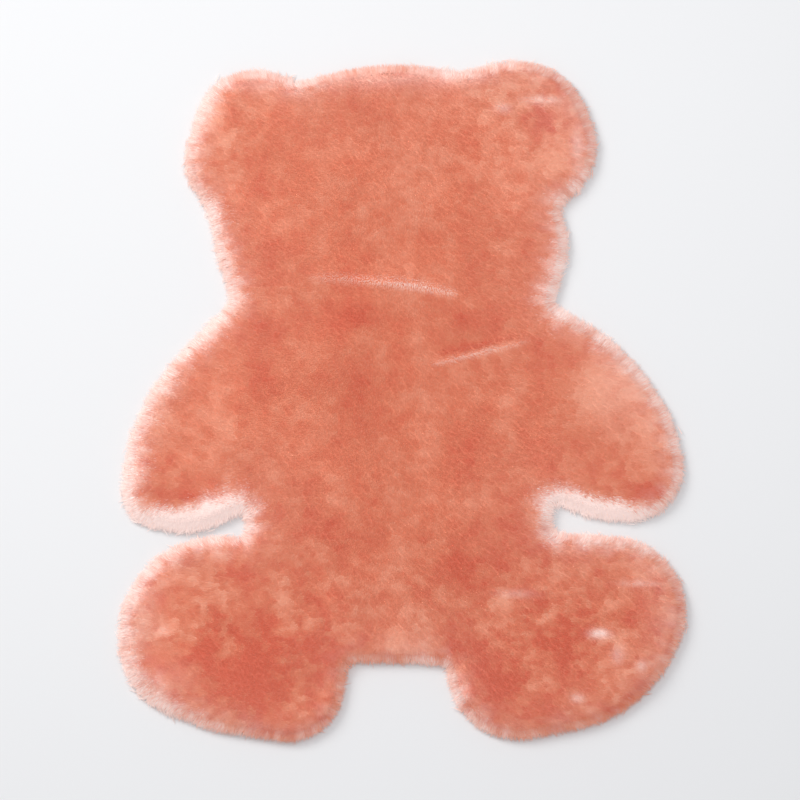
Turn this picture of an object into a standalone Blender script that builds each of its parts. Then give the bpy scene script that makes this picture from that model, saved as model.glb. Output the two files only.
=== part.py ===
"""Bear shaped rug of tip-dyed faux fur, lying flat on the floor.

The rug is one panel, cut to a teddy bear's outline. The ground cloth and its pile
are one solid: flat below, lumpy above, rounded off at the rim, with locks of hair
that lie outward on the floor all round. Left and right are as one looks down on it with
the head away from one: +X is right, +Y is the head, +Z is up, and z = 0 is the floor.
Everything is in metres.
"""
import math
import random
from collections import namedtuple

import bmesh
import bpy
from mathutils import Vector, noise
from mathutils.geometry import delaunay_2d_cdt

MM = 0.001

# The pile
PILE_HEIGHT = 25 * MM
RIM_HEIGHT = 5 * MM
RIM_ROUNDING = 24 * MM
RIM_INSET = 7 * MM
LUMP_HEIGHT = 3.5 * MM
LUMP_SIZE = 80 * MM
TUFT_HEIGHT = 2 * MM
TUFT_SIZE = 42 * MM

# The mesh
OUTLINE_STEP = 11 * MM
RIM_RINGS = (0, 4 * MM, 11 * MM, RIM_ROUNDING)
GRID_STEP = 20 * MM
GRID_MARGIN = 0.55
FOLD_STEP = 12 * MM
FOLD_FEET = 0.9
FOLD_FADE = 2
MERGE = 1e-7
SHARP_ANGLE = math.radians(60)

# The locks round the rim. None stands in a hollow tighter than the last size.
LOCK_SHORTEST = 6 * MM
LOCK_LONGEST = 11 * MM
LOCK_CURL = 3 * MM
LOCK_BEND_AT = 0.55
LOCK_BEND_CURL = 0.3
LOCK_BEND_WIDTH = 0.6
LOCK_ROOM = 2 * MM
TIGHT_HOLLOW = 30 * MM
SEED = 7

FUR_COLOUR = (0.74, 0.22, 0.14, 1.0)
FUR_ROUGHNESS = 0.9

# The outline is a belt laid round these arcs, in this order and anticlockwise, with a
# straight stretch from each to the next. The belt goes round the outside of an OUT arc
# and hollows in round an IN arc. Centres and radii are in millimetres.
OUT = 1
IN = -1
Arc = namedtuple("Arc", "name x y radius turn")
OUTLINE = (
    Arc("crown", -13, 174, 277, OUT),
    Arc("left ear dip", -139, 445, 16, IN),
    Arc("left ear top", -197, 362, 82, OUT),
    Arc("left ear side", -214, 320, 78, OUT),
    Arc("left ear foot", -273, 244, 12, IN),
    Arc("left cheek", -193, 203, 57, OUT),
    Arc("left neck", -249, 136, 16, IN),
    Arc("left shoulder", -102, -125, 270, OUT),
    Arc("left paw", -324, -123, 49, OUT),
    Arc("left forearm", -290, -61, 117, OUT),
    Arc("left slit top", -216, -160, 5, IN),
    Arc("left slit foot", -217, -172, 7, IN),
    Arc("left thigh", -241, -312, 134, OUT),
    Arc("left hip", -270, -318, 105, OUT),
    Arc("left sole", -207, -279, 165, OUT),
    Arc("left toe", -152, -376, 78, OUT),
    Arc("left crotch", -61, -360, 9, IN),
    Arc("crotch arch", -5, -682, 331, IN),
    Arc("right crotch", 46, -362, 8, IN),
    Arc("right toe", 150, -355, 96, OUT),
    Arc("right sole", 187, -254, 188, OUT),
    Arc("right hip", 270, -280, 102, OUT),
    Arc("right slit foot", 204, -166, 8, IN),
    Arc("right slit top", 203, -148, 5, IN),
    Arc("right forearm", 280, -25, 138, OUT),
    Arc("right paw", 296, -91, 73, OUT),
    Arc("right elbow", 193, -91, 174, OUT),
    Arc("right shoulder", 102, -129, 271, OUT),
    Arc("right neck", 211, 132, 9, IN),
    Arc("right cheek", 133, 206, 86, OUT),
    Arc("right ear foot", 222, 252, 11, IN),
    Arc("right ear side", 170, 338, 88, OUT),
    Arc("right ear top", 150, 355, 101, OUT),
    Arc("right ear crest", 154, 302, 154, OUT),
    Arc("right ear dip", 73, 457, 15, IN),
)

# Folds that packing left in the pile: a ridge stands up and a trough lies in. Ends,
# width and height are in millimetres; bow is how far the middle lies off the chord.
Fold = namedtuple("Fold", "name x1 y1 x2 y2 bow width height")
FOLDS = (
    Fold("neck ridge", -119, 166, 68, 145, 3, 13, 5),
    Fold("chest trough", 46, 66, 152, 93, -4, 14, -6),
    Fold("chest ridge", 44, 50, 147, 75, -4, 13, 3),
)


def clear_scene():
    """Take every object out of the scene."""
    for thing in list(bpy.data.objects):
        bpy.data.objects.remove(thing, do_unlink=True)


def straight_directions():
    """Return the heading of the straight stretch that follows each arc."""
    headings = []
    for index, arc in enumerate(OUTLINE):
        after = OUTLINE[(index + 1) % len(OUTLINE)]
        span = Vector((after.x - arc.x, after.y - arc.y))
        swing = math.asin((after.turn * after.radius - arc.turn * arc.radius) / span.length)
        headings.append(math.atan2(span.y, span.x) - swing)
    return headings


def outline_points(inset):
    """Return the outline moved inward by inset, as (place, hollow radius or None).

    Every inset gives the same number of points, each on its own normal, so that two
    outlines bridge point to point.
    """
    headings = straight_directions()
    middle = RIM_INSET + RIM_ROUNDING / 2
    points = []
    for index, arc in enumerate(OUTLINE):
        before = headings[index - 1]
        turned = (headings[index] - before) * arc.turn % math.tau * arc.turn
        centre = Vector((arc.x, arc.y)) * MM
        radius = arc.radius * MM - arc.turn * inset
        mean_radius = arc.radius * MM - arc.turn * middle
        steps = max(1, round(abs(turned) * mean_radius / OUTLINE_STEP))
        hollow = radius if arc.turn == IN else None
        on_arc = []
        for step in range(steps + 1):
            heading = before + turned * step / steps
            outward = Vector((math.sin(heading), -math.cos(heading)))
            on_arc.append(centre + outward * radius * arc.turn)
        if points:
            points += straight_points(points[-1][0], on_arc[0], index)
        points += [(place, hollow) for place in on_arc]
    points += straight_points(points[-1][0], points[0][0], 0)
    return points


def straight_points(start, end, index):
    """Return the points between two arcs, as many for one inset as for another."""
    arc = OUTLINE[index]
    before = OUTLINE[index - 1]
    span = math.hypot(arc.x - before.x, arc.y - before.y)
    rise = arc.turn * arc.radius - before.turn * before.radius
    length = math.sqrt(span * span - rise * rise) * MM
    pieces = max(1, round(length / OUTLINE_STEP))
    return [(start.lerp(end, step / pieces), None) for step in range(1, pieces)]


def fold_middle(fold, along):
    """Return the point on a fold's line, for along from 0 at one end to 1."""
    start = Vector((fold.x1, fold.y1)) * MM
    end = Vector((fold.x2, fold.y2)) * MM
    across = (end - start).orthogonal().normalized()
    return start.lerp(end, along) + across * fold.bow * MM * 4 * along * (1 - along)


def fold_height(place):
    """Return how far the folds raise or lower the pile at a place."""
    raised = 0.0
    for fold in FOLDS:
        start = Vector((fold.x1, fold.y1)) * MM
        chord = Vector((fold.x2, fold.y2)) * MM - start
        along = (place - start).dot(chord) / chord.length_squared
        if not 0 < along < 1:
            continue
        off = (place - fold_middle(fold, along)).length / (fold.width * MM / 2)
        if off < FOLD_FADE:
            swell = math.exp(-off * off) * math.sqrt(math.sin(math.pi * along))
            raised += fold.height * MM * swell
    return raised


def pile_height(place, depth):
    """Return the height of the pile at a place that lies depth inside the rim."""
    lump = noise.noise((place / LUMP_SIZE).to_3d()) * LUMP_HEIGHT
    tuft = noise.noise((place / TUFT_SIZE).to_3d()) * TUFT_HEIGHT
    top = PILE_HEIGHT + lump + tuft + fold_height(place) - RIM_HEIGHT
    reach = min(depth / RIM_ROUNDING, 1)
    return RIM_HEIGHT + top * math.sqrt(1 - (1 - reach) ** 2)


def is_inside(place, ring):
    """Return whether a place lies inside a closed ring."""
    inside = False
    for start, end in zip(ring, ring[1:] + ring[:1]):
        if (start.y > place.y) != (end.y > place.y):
            edge = end - start
            inside ^= place.x < start.x + edge.x * (place.y - start.y) / edge.y
    return inside


def distance_to(place, ring):
    """Return how far a place lies from a closed ring."""
    nearest = math.inf
    for start, end in zip(ring, ring[1:] + ring[:1]):
        edge = end - start
        along = min(max((place - start).dot(edge) / edge.length_squared, 0), 1)
        nearest = min(nearest, (place - start - edge * along).length)
    return nearest


def fold_mesh_points():
    """Return the points of the rows that follow each fold: its line and both feet."""
    places = []
    for fold in FOLDS:
        length = math.hypot(fold.x2 - fold.x1, fold.y2 - fold.y1) * MM
        steps = round(length / FOLD_STEP)
        for step in range(steps + 1):
            middle = fold_middle(fold, step / steps)
            across = Vector((fold.y1 - fold.y2, fold.x2 - fold.x1)).normalized()
            foot = across * FOLD_FEET * fold.width * MM
            places += [middle, middle + foot, middle - foot]
    return places


def field_points(ring):
    """Return the points that the pile's top has inside the innermost ring."""
    kept = []
    for place in fold_mesh_points():
        if all((place - other).length > FOLD_STEP / 3 for other in kept):
            kept.append(place)
    fold_points = list(kept)
    low = Vector((min(p.x for p in ring), min(p.y for p in ring)))
    high = Vector((max(p.x for p in ring), max(p.y for p in ring)))
    row_step = GRID_STEP * math.sqrt(3) / 2
    for row in range(int((high.y - low.y) / row_step) + 1):
        shift = GRID_STEP / 2 if row % 2 else 0
        for column in range(int((high.x - low.x) / GRID_STEP) + 1):
            place = Vector((low.x + shift + column * GRID_STEP, low.y + row * row_step))
            near_fold = any((place - other).length < FOLD_STEP for other in fold_points)
            if near_fold or not is_inside(place, ring):
                continue
            if distance_to(place, ring) > GRID_STEP * GRID_MARGIN:
                kept.append(place)
    return kept


def add_ring(mesh, places, depth):
    """Add a ring of the pile's top and return its vertices."""
    return [mesh.verts.new((*place, pile_height(place, depth))) for place in places]


def bridge(mesh, outer, inner):
    """Join two rings of vertices that match point to point, and return the faces."""
    count = len(outer)
    faces = []
    for index in range(count):
        after = (index + 1) % count
        corners = (outer[index], outer[after], inner[after], inner[index])
        faces.append(mesh.faces.new(corners))
    return faces


def fill(mesh, ring, inner_places, face_up):
    """Fill a ring of vertices with triangles through the places that lie inside it."""
    count = len(ring)
    places = [vertex.co.to_2d() for vertex in ring] + inner_places
    edges = [(index, (index + 1) % count) for index in range(count)]
    inside_only = 1
    result = delaunay_2d_cdt(places, edges, [], inside_only, MERGE)
    if len(result[0]) != len(places):
        raise RuntimeError("the outline crosses itself")
    added = [mesh.verts.new((*p, pile_height(p, RIM_ROUNDING))) for p in inner_places]
    vertices = list(ring) + added
    for triangle in result[2]:
        corners = [vertices[result[3][corner][0]] for corner in triangle]
        mesh.faces.new(corners if face_up else corners[::-1])


def pull_lock(mesh, face, length, curl, rim):
    """Draw a face of the rim out into a tapered lock that lies on the floor.

    In a slit the lock is as short as leaves room for the one across from it.
    """
    outward = face.normal.copy()
    outward.z = 0
    outward.normalize()
    sideways = Vector((-outward.y, outward.x, 0))
    root = face.calc_center_median()
    root.z = 0
    while distance_to((root + outward * (length + LOCK_ROOM)).to_2d(), rim) < length:
        length -= MM
    drawn = bmesh.ops.extrude_discrete_faces(mesh, faces=[face])["faces"][0]
    for vertex in drawn.verts:
        bend = root + (vertex.co - root) * LOCK_BEND_WIDTH
        vertex.co = bend + outward * length * LOCK_BEND_AT
        vertex.co += sideways * curl * LOCK_BEND_CURL
    tip = bmesh.ops.extrude_discrete_faces(mesh, faces=[drawn])["faces"][0]
    point = root + outward * length + sideways * curl
    bmesh.ops.pointmerge(mesh, verts=tip.verts, merge_co=point)


def centre_on_origin(mesh):
    """Move the mesh along the floor until its box is centred on the origin."""
    sides = [vertex.co.x for vertex in mesh.verts]
    ends = [vertex.co.y for vertex in mesh.verts]
    middle = Vector((min(sides) + max(sides), min(ends) + max(ends), 0)) / 2
    bmesh.ops.translate(mesh, verts=mesh.verts, vec=-middle)


def build_rug():
    """Model the rug's one panel of fur and return its object."""
    draw = random.Random(SEED)
    mesh = bmesh.new()
    rings = [outline_points(RIM_INSET + depth) for depth in RIM_RINGS]
    edge_places = [place for place, hollow in rings[0]]
    underside = [mesh.verts.new((*place, 0)) for place in edge_places]
    tops = []
    for ring, depth in zip(rings, RIM_RINGS):
        tops.append(add_ring(mesh, [place for place, hollow in ring], depth))
    wall = bridge(mesh, underside, tops[0])
    for outer, inner in zip(tops, tops[1:]):
        bridge(mesh, outer, inner)
    inner_ring = [vertex.co.to_2d() for vertex in tops[-1]]
    fill(mesh, tops[-1], field_points(inner_ring), face_up=True)
    fill(mesh, underside, [], face_up=False)
    mesh.normal_update()

    hollows = [hollow for place, hollow in rings[0]]
    for index, face in enumerate(wall):
        near = [hollows[(index + step) % len(hollows)] for step in (-1, 0, 1, 2)]
        tight = any(hollow and hollow < TIGHT_HOLLOW for hollow in near)
        length = draw.uniform(LOCK_SHORTEST, LOCK_LONGEST)
        curl = draw.uniform(-LOCK_CURL, LOCK_CURL)
        if not tight:
            pull_lock(mesh, face, length, curl, edge_places)

    bmesh.ops.triangulate(mesh, faces=mesh.faces)
    centre_on_origin(mesh)
    data = bpy.data.meshes.new("fur_rug")
    mesh.to_mesh(data)
    mesh.free()
    rug = bpy.data.objects.new("fur_rug", data)
    bpy.context.scene.collection.objects.link(rug)
    data.shade_smooth()
    data.set_sharp_from_angle(angle=SHARP_ANGLE)
    data.materials.append(fur_material())
    return rug


def fur_material():
    """Return the coral finish of the pile."""
    material = bpy.data.materials.new("coral_fur")
    material.use_nodes = True
    shader = material.node_tree.nodes["Principled BSDF"]
    shader.inputs["Base Color"].default_value = FUR_COLOUR
    shader.inputs["Roughness"].default_value = FUR_ROUGHNESS
    shader.inputs["Metallic"].default_value = 0.0
    return material


clear_scene()
build_rug()
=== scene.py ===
"""Dress a bear shaped rug in its ground cloth, underfur, tip-dyed pile and rim fringe.

The rug's own outline and the height of its pile come from the frame. Left and right are
as one looks down on the rug with its head away from one: +X is right, +Y is the head.
Tables of places are in millimetres from the rug's middle, and all else is in metres.
"""
import math
from collections import namedtuple

import bmesh
import bpy
import numpy as np
from bpy.props import FloatProperty, FloatVectorProperty, IntProperty, PointerProperty
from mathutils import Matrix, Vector
from mathutils.bvhtree import BVHTree
from mathutils.kdtree import KDTree


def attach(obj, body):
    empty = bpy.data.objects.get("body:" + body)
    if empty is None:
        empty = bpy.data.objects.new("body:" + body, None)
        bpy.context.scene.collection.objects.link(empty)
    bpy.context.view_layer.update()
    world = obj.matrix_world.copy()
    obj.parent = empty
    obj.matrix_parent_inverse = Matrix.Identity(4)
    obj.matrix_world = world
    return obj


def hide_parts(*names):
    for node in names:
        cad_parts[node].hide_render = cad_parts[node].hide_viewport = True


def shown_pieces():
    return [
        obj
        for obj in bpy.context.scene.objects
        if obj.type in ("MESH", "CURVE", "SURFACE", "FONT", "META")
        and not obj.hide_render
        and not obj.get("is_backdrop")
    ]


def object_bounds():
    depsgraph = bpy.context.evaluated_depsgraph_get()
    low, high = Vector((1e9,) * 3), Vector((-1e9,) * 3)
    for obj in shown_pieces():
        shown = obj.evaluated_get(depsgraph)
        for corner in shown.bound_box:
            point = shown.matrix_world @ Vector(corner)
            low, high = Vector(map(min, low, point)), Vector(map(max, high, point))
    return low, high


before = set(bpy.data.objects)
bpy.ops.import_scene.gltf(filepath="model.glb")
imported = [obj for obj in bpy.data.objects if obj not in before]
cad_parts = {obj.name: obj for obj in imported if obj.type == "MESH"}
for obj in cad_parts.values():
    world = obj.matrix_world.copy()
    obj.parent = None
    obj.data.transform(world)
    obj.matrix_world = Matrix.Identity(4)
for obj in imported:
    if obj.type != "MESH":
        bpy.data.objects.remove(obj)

bl_info = {
    "name": "Bear shaped rug",
    "version": (1, 0, 0),
    "blender": (4, 5, 0),
    "location": "3D View > Sidebar > Rug",
    "description": "Ground cloth, underfur, tip-dyed pile and rim fringe of a bear shaped rug",
    "category": "Add Mesh",
}

MM = 0.001
SLAB = "fur_rug"
SLAB_LOW, SLAB_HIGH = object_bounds()
MIDDLE = (SLAB_LOW + SLAB_HIGH) / 2

# The slab's wall stands this far inside the rug's outline. The locks at the rim stay
# below the cut. Over them the pile rounds down to the outline from its crown.
WALL_INSET = 7 * MM
CUT_HEIGHT = 5.5 * MM
RIM_DEPTH = 11 * MM
RIM_CROWN = 15 * MM
FLOOR_GAP = 0.3 * MM

# Painted glow: hairs and underfur emit this share of their own colour, in place of light that goes
# through the hairs and comes out again
HAIR_GLOW = 0.41

# A hair's map: across it runs how much dye it took, and up it how light the dye is.
HAIR_MAP = "OFBake"
HAIR_MAP_WIDTH = 0.01

# The underfur's mesh holds the same two numbers under these names
DYE = "dye"
TONE = "tone"

# How much of its own roundness a hair shows to the light, beside the pile's surface
OWN_ROUNDNESS = 0.15

# A way that no hair points in, for finding its two sides
SIDE_HINT = (0.3, 0.2, 1.0)

# Soft noise is a sum of layers, each in blotches of one size and with a seed of its own.
# A stretched layer's blotches are drawn out from side to side.
SEED = 11
Layer = namedtuple("Layer", "size amount seed stretch", defaults=(1,))
TONE_BLOTCHES = (
    Layer(26 * MM, 0.30, 0),
    Layer(13 * MM, 0.25, 5),
    Layer(6 * MM, 0.40, 1, 1.5),
)
RIM_STREAKS = (Layer(4 * MM, 0.30, 40), Layer(11 * MM, 0.25, 41))
DYE_EDGE_WAVES = (Layer(6 * MM, 0.15, 3), Layer(16 * MM, 0.15, 4))
FADED_BLOTCHES = (Layer(9 * MM, 1, 6, 1.5),)
LEAN_WAVES = (Layer(45 * MM, 0.16, 10), Layer(13 * MM, 0.10, 20))
FRINGE_SWINGS = (Layer(9 * MM, 0.5, 30),)
FRINGE_LENGTHS = (Layer(12 * MM, 1.2 * MM, 31),)

# A tone of a half is plain coral. Patches and blotches move it by this share.
PLAIN_TONE = 0.5
TONE_SPREAD = 0.42
TONE_RANGE = (0.02, 0.98)

# How much dye the outermost hairs took where the undyed rim is narrow, how fast that
# fades as the rim gets wider, and the most that it may be
NARROW_RIM = 5 * MM
NARROW_RIM_TINT = 0.8
TINT_FADE = 7 * MM
MOST_TINT = 0.85

# Where the dye begins and how far it blurs to both sides, as shares of the undyed rim's
# width, and how much less it blurs and strays where it begins sharply
DYE_START = 0.9
DYE_BLUR = 0.95
SHARP_LESS_BLUR = 0.75
SHARP_LESS_RAGGED = 0.7
SHARP_LESS_STREAKED = 0.8

# How wide the undyed rim is at places along the outline, and how sharply the dye begins
Rim = namedtuple("Rim", "name x y pale sharp")
RIMS = (
    Rim("crown", -5, 452, 6, 0),
    Rim("crown left", -102, 440, 8, 0),
    Rim("left ear dip", -137, 423, 12, 0),
    Rim("left ear top", -216, 442, 8, 0),
    Rim("left ear", -257, 416, 13, 0),
    Rim("left ear side", -288, 347, 14, 0),
    Rim("left ear foot", -278, 271, 10, 0),
    Rim("left notch", -258, 246, 18, 0.3),
    Rim("left cheek", -257, 203, 12, 0),
    Rim("left neck", -236, 136, 16, 0),
    Rim("left shoulder", -313, 48, 17, 0),
    Rim("left forearm", -345, 0, 15, 0),
    Rim("left elbow", -365, -37, 17, 0),
    Rim("left paw", -374, -100, 21, 0.1),
    Rim("left paw corner", -352, -152, 22, 0.5),
    Rim("left palm", -310, -172, 34, 1),
    Rim("left armpit", -250, -157, 42, 1),
    Rim("left slit top", -219, -145, 36, 0.7),
    Rim("left slit end", -208, -160, 15, 0.2),
    Rim("left slit foot", -215, -182, 12, 0),
    Rim("left thigh", -300, -202, 12, 0),
    Rim("left hip", -370, -275, 15, 0),
    Rim("left sole", -357, -355, 18, 0),
    Rim("left toe", -307, -408, 14, 0),
    Rim("left foot", -196, -455, 5, 0),
    Rim("left inner foot", -90, -420, 6, 0),
    Rim("left crotch", -70, -370, 6, 0),
    Rim("crotch", -6, -347, 6, 0),
    Rim("right crotch", 55, -360, 9, 0),
    Rim("right inner foot", 62, -395, 11, 0),
    Rim("right ankle", 95, -430, 9, 0),
    Rim("right foot", 183, -449, 5, 0),
    Rim("right toe", 282, -419, 4, 0),
    Rim("right sole", 352, -346, 5, 0),
    Rim("right hip", 368, -270, 8, 0),
    Rim("right hip top", 335, -200, 10, 0),
    Rim("right thigh", 270, -175, 9, 0),
    Rim("right slit foot", 205, -172, 14, 0),
    Rim("right slit end", 195, -158, 17, 0.3),
    Rim("right slit top", 205, -145, 29, 0.8),
    Rim("right armpit", 230, -143, 31, 1),
    Rim("right palm", 290, -160, 30, 1),
    Rim("right paw corner", 330, -150, 17, 0.5),
    Rim("right paw", 358, -125, 10, 0.1),
    Rim("right elbow", 366, -77, 12, 0),
    Rim("right forearm", 344, -3, 13, 0),
    Rim("right shoulder", 246, 103, 13, 0),
    Rim("right neck", 201, 150, 18, 0),
    Rim("right cheek", 217, 210, 14, 0),
    Rim("right ear foot", 224, 270, 11, 0),
    Rim("right ear side", 255, 340, 9, 0),
    Rim("right ear", 233, 408, 7, 0),
    Rim("right ear top", 175, 452, 9, 0),
    Rim("right ear dip", 93, 443, 13, 0),
)

# Soft patches where the dye is darker, below 0, or lighter, above 0; the two palm patches
# are painted shade instead. Each fades out over one length across the bear and another along it.
Patch = namedtuple("Patch", "name x y across along amount")
PATCHES = (
    Patch("left ear", -176, 363, 33, 33, -0.3),
    Patch("crown left", -71, 376, 33, 27, -0.3),
    Patch("left temple", -183, 283, 26, 33, -0.3),
    Patch("right temple", 88, 230, 22, 80, -0.35),
    Patch("chin left", -64, 196, 24, 18, -0.5),
    Patch("left cheek", -176, 190, 33, 33, -0.3),
    Patch("left collarbone", -183, 89, 27, 20, -0.8),
    Patch("left collar", -64, 116, 27, 27, -0.8),
    Patch("right collar", 88, 98, 42, 24, -0.8),
    Patch("left ribs", -187, 29, 24, 47, -0.55),
    Patch("chest left", -57, 9, 24, 70, -0.4),
    Patch("right shoulder", 180, 49, 27, 27, -0.45),
    Patch("right forearm", 207, -64, 47, 30, -0.35),
    Patch("right ribs", 88, -64, 30, 36, -0.7),
    # The two palm patches are painted shade: a dark strip just inside the sharp dye edge over the
    # undyed band under each arm, where the pile shades itself
    Patch("left palm", -286, -129, 44, 9, -1.1),
    Patch("right palm", 319, -124, 32, 11, -1.2),
    Patch("left waist", -104, -171, 66, 30, -0.5),
    Patch("navel left", -64, -198, 27, 20, -0.3),
    Patch("right waist", 127, -178, 53, 27, -0.5),
    Patch("right groin", 68, -227, 40, 24, -0.8),
    Patch("left groin", -196, -231, 20, 16, -0.5),
    Patch("left shin", -203, -351, 80, 55, -1.1),
    Patch("left foot", -183, -371, 26, 40, -0.8),
    Patch("left ankle", -113, -347, 22, 27, -0.9),
    Patch("right thigh", 88, -318, 33, 40, -0.6),
    Patch("right ankle", 121, -378, 40, 33, -1.1),
    Patch("right shin", 193, -318, 40, 53, -0.5),
    Patch("right hip", 154, -224, 27, 27, -0.3),
    Patch("right knee side", 312, -264, 27, 13, -0.5),
    Patch("right ear hollow", 184, 366, 16, 12, -1.6),
    Patch("right ear top", 165, 403, 45, 18, 0.6),
    Patch("right ear side", 207, 310, 20, 30, 0.4),
    Patch("forehead", -5, 270, 50, 100, 0.25),
    Patch("left brow", -97, 296, 20, 20, 0.3),
    Patch("left ear side", -232, 323, 18, 40, 0.45),
    Patch("left forearm", -249, -51, 26, 45, 0.6),
    Patch("left elbow", -321, -37, 15, 40, 0.4),
    Patch("chest right", 35, -51, 20, 80, 0.4),
    Patch("right side", 141, -24, 15, 53, 0.5),
    Patch("right upper arm", 246, 3, 25, 40, 0.65),
    Patch("right elbow", 312, -64, 27, 40, 0.7),
    Patch("belly", -5, -238, 16, 90, 0.6),
    Patch("crotch", 9, -324, 50, 14, 0.8),
    Patch("belly left", -110, -135, 45, 7, 0.4),
    Patch("right knee", 279, -344, 18, 24, 0.9),
    Patch("right shin gap", 134, -280, 12, 27, 0.4),
    Patch("right biceps", 284, 12, 42, 60, 0.9),
    Patch("throat", -90, 105, 60, 22, -0.35),
    Patch("right flank", 90, -104, 34, 25, -0.35),
    Patch("right brow", 130, 320, 70, 70, 0.4),
    Patch("left lap", -130, -290, 30, 50, -0.4),
    Patch("right foot edge", 150, -415, 95, 20, -0.45),
    Patch("left knee", -252, -262, 28, 24, 0.9),
    Patch("left knee side", -150, -262, 24, 20, 0.4),
    Patch("left hip", -321, -291, 15, 45, 0.15),
)

# Where the dye is blotchier than elsewhere, as a share more
BLOTCHY = (
    Patch("left leg", -220, -330, 190, 130, 1.3),
    Patch("right leg", 230, -320, 190, 130, 1.4),
    Patch("right ear", 180, 375, 80, 75, 1.6),
    Patch("left ear", -230, 360, 50, 75, 0.4),
    Patch("left elbow", -330, -80, 60, 90, 0.4),
    Patch("right elbow", 320, -60, 60, 90, 0.5),
)

# The dye is a little thinner on the limbs, so nearer the outline than the first length,
# and thinner still and ragged within the second, most of all where the rim is pale
LIMB_REACH = 120 * MM
LIMB_THINNING = 0.05
RIM_REACH = 26 * MM
RIM_THINNING = 0.24
USUAL_RIM = 10 * MM
RIM_THINNING_RANGE = (0.3, 1.2)

# Places where the pale roots show, small and plain or wide and faint
BARE_SPOTS = (
    Patch("right knee", 257, -311, 13, 6, 0.85),
    Patch("right knee foot", 281, -338, 8, 11, 0.35),
    Patch("right sole", 312, -353, 7, 7, 0.4),
    Patch("right toe", 228, -395, 9, 6, 0.4),
    Patch("right shin", 148, -259, 26, 6, 0.25),
    Patch("right knee side", 310, -245, 26, 4, 0.35),
    Patch("right hip", 270, -195, 22, 9, 0.2),
    Patch("right ear", 186, 397, 22, 5, 0.45),
    Patch("right ear inner", 133, 386, 11, 6, 0.35),
    Patch("right ear side", 232, 335, 8, 26, 0.3),
    Patch("left ear top", -206, 436, 14, 7, 0.3),
    Patch("left hip", -313, -307, 8, 5, 0.25),
    Patch("left heel", -318, -370, 6, 12, 0.2),
    Patch("crown", -30, 428, 115, 15, 0.24),
    Patch("left ear", -190, 424, 60, 16, 0.14),
    Patch("whole right ear", 205, 375, 55, 50, 0.07),
    Patch("left leg side", -345, -290, 28, 50, 0.12),
    Patch("left heel side", -298, -370, 26, 26, 0.09),
    Patch("right leg side", 338, -290, 28, 60, 0.07),
    Patch("right biceps", 284, 12, 42, 60, 0.07),
)

# How far the pile leans away from a parting, as a slope, and how many of its widths off
# its dark line of painted shade, the fold's shadow, runs
PARTING_LEAN = 0.25
FOLD_SHADE_OFF = 2.2

# Lines along which folds have parted the pile, so that it lies away to both sides. Each
# bows out in its middle, and grows or fades along its way by its rise.
# A parting's dark is painted shade: the fold's shadow, as a darker tone in a line beside it
Parting = namedtuple("Parting", "name x1 y1 x2 y2 bow width pale rise dark")
PARTINGS = (
    Parting("neck", -126, 159, 74, 137, 4, 7, 0.5, 0.9, 0),
    Parting("chest", 36, 42, 171, 76, -1, 5, 0.3, -0.8, 0.5),
)

# Each part of the bear has a piece of pile, within these sides
Part = namedtuple("Part", "name left right foot head")
FAR = 1000
PARTS = (
    Part("pile_head_left", -FAR, 0, 150, FAR),
    Part("pile_head_right", 0, FAR, 150, FAR),
    Part("pile_arm_left", -FAR, -190, -170, 150),
    Part("pile_chest", -190, 190, 0, 150),
    Part("pile_belly", -190, 190, -170, 0),
    Part("pile_arm_right", 190, FAR, -170, 150),
    Part("pile_leg_left", -FAR, 0, -FAR, -170),
    Part("pile_leg_right", 0, FAR, -FAR, -170),
)


def length(name, description, default):
    """Return a property for a length in metres."""
    return FloatProperty(
        name=name, description=description, default=default, min=0, unit="LENGTH", precision=4
    )


def colour(name, description, default):
    """Return a property for a colour."""
    return FloatVectorProperty(
        name=name, description=description, default=default, size=3, min=0, max=1, subtype="COLOR"
    )


class RugSizes(bpy.types.PropertyGroup):
    """Sizes of the rug's cloth and hair"""

    cloth: length("Cloth", "Thickness of the ground cloth", 1.5 * MM)
    underfur: length("Underfur", "How far the underfur lies below the tips", 6 * MM)
    spacing: length("Hair spacing", "Distance from hair to hair", 1.8 * MM)
    hair: length("Hair length", "Length of a hair above the underfur's middle", 12 * MM)
    hair_radius: length("Hair radius", "Radius of a hair tuft at its root", 1.2 * MM)
    clump: length("Clump", "Distance between the clumps that tips draw into", 7 * MM)
    fringe: length("Fringe length", "Length of the hairs at the rim", 14 * MM)
    fringe_radius: length("Fringe radius", "Radius of a rim hair at its root", 0.6 * MM)
    fringe_hairs: IntProperty(
        name="Fringe hairs", description="Number of hairs round the rim", default=16000, min=0
    )


class RugColours(bpy.types.PropertyGroup):
    """Colours of the rug and of its floor"""

    root: colour("Root", "Undyed hair at the roots and the rim", (0.92, 0.75, 0.71))
    dark: colour("Dark coral", "Dye where the pile is darkest", (0.55, 0.067, 0.013))
    middle: colour("Coral", "Dye over most of the pile", (0.61, 0.153, 0.064))
    light: colour("Light coral", "Dye where the pile is lightest", (0.725, 0.29, 0.175))
    cloth: colour("Cloth", "Knitted ground cloth", (0.80, 0.74, 0.70))
    floor: colour("Floor", "Floor under the rug", (0.86, 0.865, 0.88))


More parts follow.
